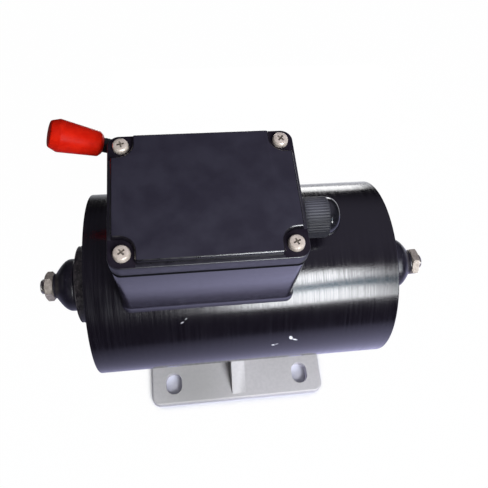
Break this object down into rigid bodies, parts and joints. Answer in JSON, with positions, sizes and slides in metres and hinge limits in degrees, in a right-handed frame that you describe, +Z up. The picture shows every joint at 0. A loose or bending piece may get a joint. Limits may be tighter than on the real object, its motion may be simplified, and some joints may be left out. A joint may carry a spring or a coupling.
{
  "type": "electric motor",
  "caption": "Small foot-mounted electric motor with a shaft end on each side, rubber shaft boots, a terminal box on top, a cable gland and a hand switch lever.",
  "frame": {"origin": "middle of the foot's underside, on the floor", "axes": "+X along the shaft towards the end with the cable gland, +Z up from the foot through the terminal box, +Y towards the side with the switch lever"},
  "size_m": [0.2, 0.11, 0.1483],
  "materials": {
    "housing_black": "black satin anodised",
    "cover_black": "black satin",
    "box_black": "black satin paint",
    "foot_cast": "cast and machined, bare",
    "zinc_steel": "zinc plated",
    "nickel_screw": "nickel plated",
    "nut_steel": "turned, bare",
    "shaft_steel": "ground",
    "bearing_steel": "polished",
    "ball_cage_brass": "pressed brass",
    "spring_steel": "hardened strip",
    "lamination": "stamped and stacked sheet",
    "copper": "enamelled copper wire",
    "rotor_bars": "cast aluminium",
    "lead_red": "insulated wire",
    "lead_blue": "insulated wire",
    "rubber_black": "smooth moulded rubber",
    "gasket_black": "matte gasket rubber",
    "gland_black": "black moulded plastic",
    "block_cream": "moulded plastic",
    "terminal_brass": "stamped brass",
    "switch_plastic": "moulded plastic",
    "switch_cam": "moulded plastic",
    "hub_black": "black oxide",
    "grip_red": "glossy moulded plastic"
  },
  "bodies": {
    "housing": {"housing_tube": "housing_black", "left_end_cover": "cover_black", "right_end_cover": "cover_black", "left_bearing_cap": "cover_black", "right_bearing_cap": "cover_black", "left_cap_screws": "zinc_steel", "right_cap_screws": "zinc_steel", "through_bolts": "zinc_steel", "through_bolt_nuts": "zinc_steel", "left_outer_ring": "bearing_steel", "right_outer_ring": "bearing_steel", "wave_washer": "spring_steel", "stator_core": "lamination", "stator_winding": "copper", "motor_leads": "lead_red", "lead_grommet": "rubber_black", "foot_bracket": "foot_cast", "foot_screws": "zinc_steel", "box_saddle_pad": "gasket_black", "terminal_box_base": "box_black", "box_base_screws": "nickel_screw", "lid_gasket": "gasket_black", "terminal_box_lid": "box_black", "lid_screws": "nickel_screw", "terminal_block": "block_cream", "terminal_plates": "terminal_brass", "terminal_screws": "zinc_steel", "gland_body": "gland_black", "gland_locknut": "gland_black", "gland_seal": "rubber_black", "gland_nut": "gland_black", "switch_bushing": "nickel_screw", "switch_bushing_nut": "nickel_screw", "switch_body": "switch_plastic", "switch_contacts": "terminal_brass", "switch_leads": "lead_blue"},
    "rotor": {"shaft": "shaft_steel", "rotor_core": "lamination", "rotor_cage": "rotor_bars", "left_inner_ring": "bearing_steel", "right_inner_ring": "bearing_steel", "left_boot": "rubber_black", "right_boot": "rubber_black", "left_shaft_nut": "nut_steel", "right_shaft_nut": "nut_steel"},
    "left_ball_set": {"left_balls": "bearing_steel", "left_ball_cage": "ball_cage_brass"},
    "right_ball_set": {"right_balls": "bearing_steel", "right_ball_cage": "ball_cage_brass"},
    "lever": {"lever_shaft": "shaft_steel", "switch_rotor": "switch_cam", "lever_hub": "hub_black", "hub_set_screw": "zinc_steel", "lever_rod": "hub_black", "lever_grip": "grip_red"}
  },
  "joints": [
    {"name": "rotor_spin", "type": "hinge", "parent": "housing", "child": "rotor", "pos_m": [0, 0, 0.062], "axis": [1, 0, 0], "continuous": true},
    {"name": "left_ball_spin", "type": "hinge", "parent": "housing", "child": "left_ball_set", "pos_m": [-0.0687, 0, 0.062], "axis": [1, 0, 0], "continuous": true},
    {"name": "right_ball_spin", "type": "hinge", "parent": "housing", "child": "right_ball_set", "pos_m": [0.0687, 0, 0.062], "axis": [1, 0, 0], "continuous": true},
    {"name": "lever_turn", "type": "hinge", "parent": "housing", "child": "lever", "pos_m": [-0.0367, 0.03345, 0.1244], "axis": [0, -1, 0], "range_deg": [0, 45]}
  ],
  "couplings": [
    {"joint": "left_ball_spin", "follows": "rotor_spin", "ratio": 0.381},
    {"joint": "right_ball_spin", "follows": "rotor_spin", "ratio": 0.381}
  ]
}
